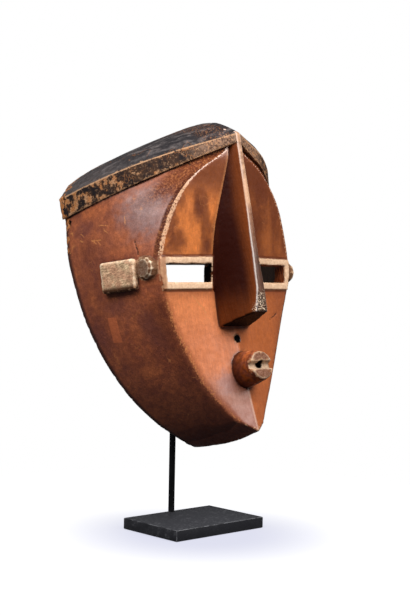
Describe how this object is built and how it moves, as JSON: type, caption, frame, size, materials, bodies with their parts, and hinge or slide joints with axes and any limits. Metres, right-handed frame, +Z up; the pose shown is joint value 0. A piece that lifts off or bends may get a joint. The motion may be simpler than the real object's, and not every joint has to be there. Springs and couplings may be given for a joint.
{
  "type": "carved mask on a stand",
  "caption": "Hollow carved wooden dance mask with slit eyes, blade nose, tubular mouth and raised brow band, held up on a black rod and flat base.",
  "frame": {"origin": "centre of the base's underside, on the surface it stands on", "axes": "+Z up, -Y the way the face looks, +X towards the mask's own left"},
  "size_m": [0.224, 0.1827, 0.3842],
  "materials": {
    "carved_wood": "hand-carved, stained reddish brown and waxed, worn to bare orange wood on edges, with black worn paint on the cap and band and pale pigment round the eyes and on the ears",
    "rod_black": "satin black paint",
    "base_black": "satin black paint with faint handling marks"
  },
  "bodies": {
    "root": {"mask": "carved_wood", "rod": "rod_black", "base": "base_black"}
  },
  "joints": []
}
